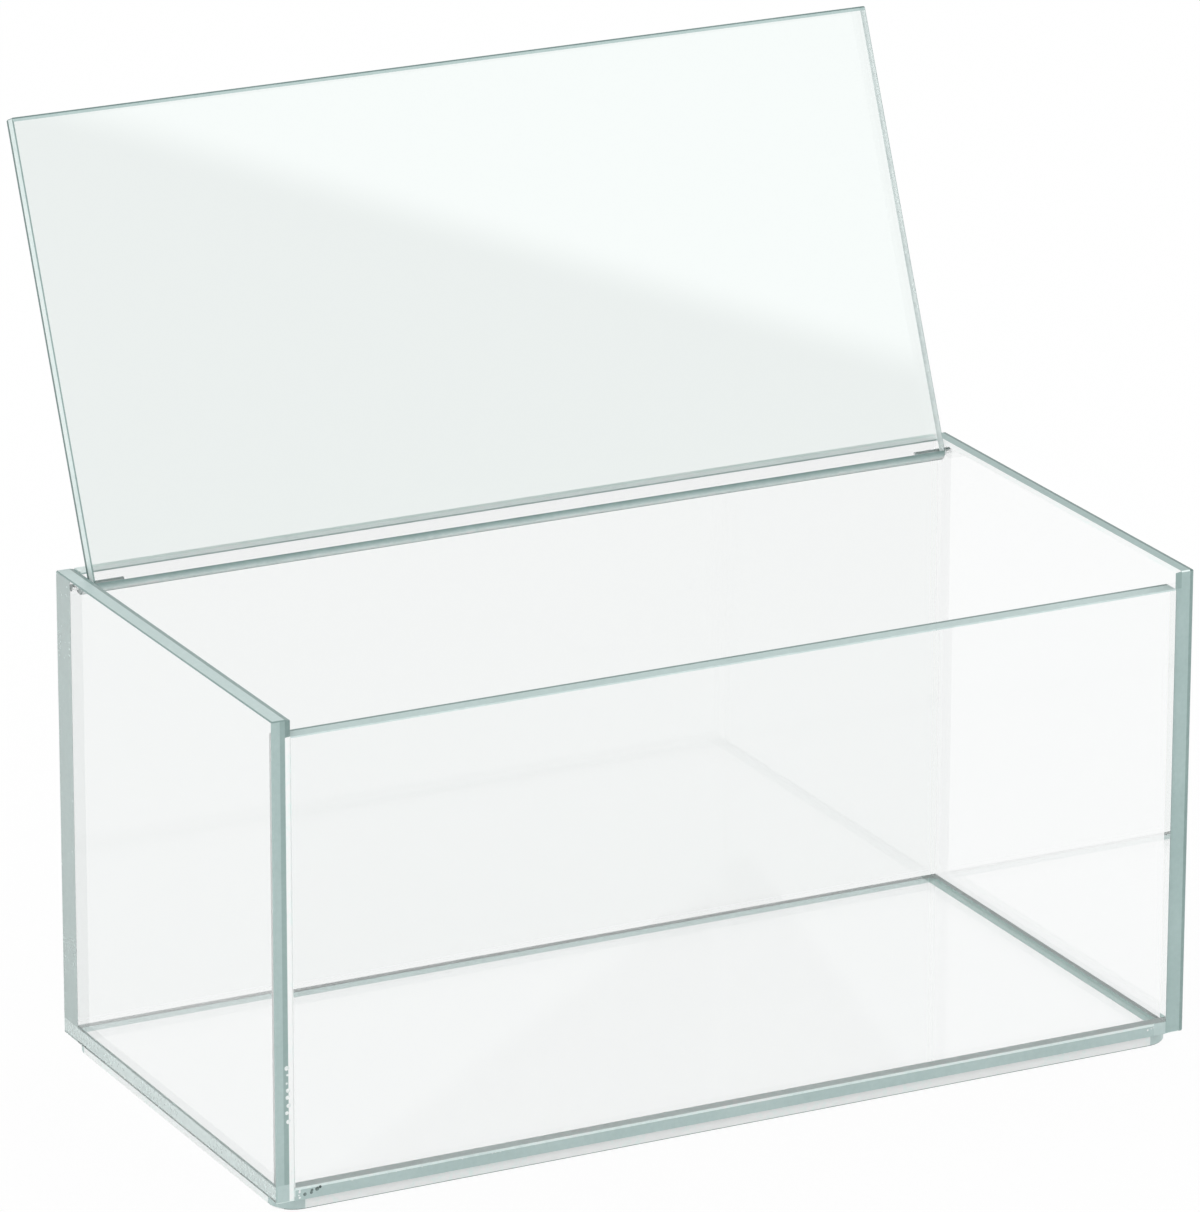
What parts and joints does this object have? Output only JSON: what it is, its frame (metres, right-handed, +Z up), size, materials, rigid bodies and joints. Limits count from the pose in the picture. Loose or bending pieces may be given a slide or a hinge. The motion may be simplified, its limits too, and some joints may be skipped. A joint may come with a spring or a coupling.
{
  "type": "hinged-lid storage box",
  "caption": "Clear acrylic storage box, open inside, with a flat lid that swings on hinge pins between the side panels and leans back open on the back panel.",
  "frame": {"origin": "middle of the underside of the base plate, on the surface that the box stands on", "axes": "+X along the width towards the right side panel, +Y from the front to the back, +Z up"},
  "size_m": [0.3, 0.1967, 0.2768],
  "materials": {
    "clear_acrylic": "clear cast acrylic sheet with polished faces and a faint green tint that shows in its cut edges",
    "pin_steel": "drawn steel rod"
  },
  "bodies": {
    "box": {"base_plinth": "clear_acrylic", "floor_panel": "clear_acrylic", "front_panel": "clear_acrylic", "back_panel": "clear_acrylic", "left_side_panel": "clear_acrylic", "right_side_panel": "clear_acrylic"},
    "lid": {"lid_panel": "clear_acrylic", "left_hinge_pin": "pin_steel", "right_hinge_pin": "pin_steel"}
  },
  "joints": [
    {"name": "lid_hinge", "type": "hinge", "parent": "box", "child": "lid", "pos_m": [0, 0.0649, 0.1475], "axis": [1, 0, 0], "range_deg": [0, 113]}
  ]
}
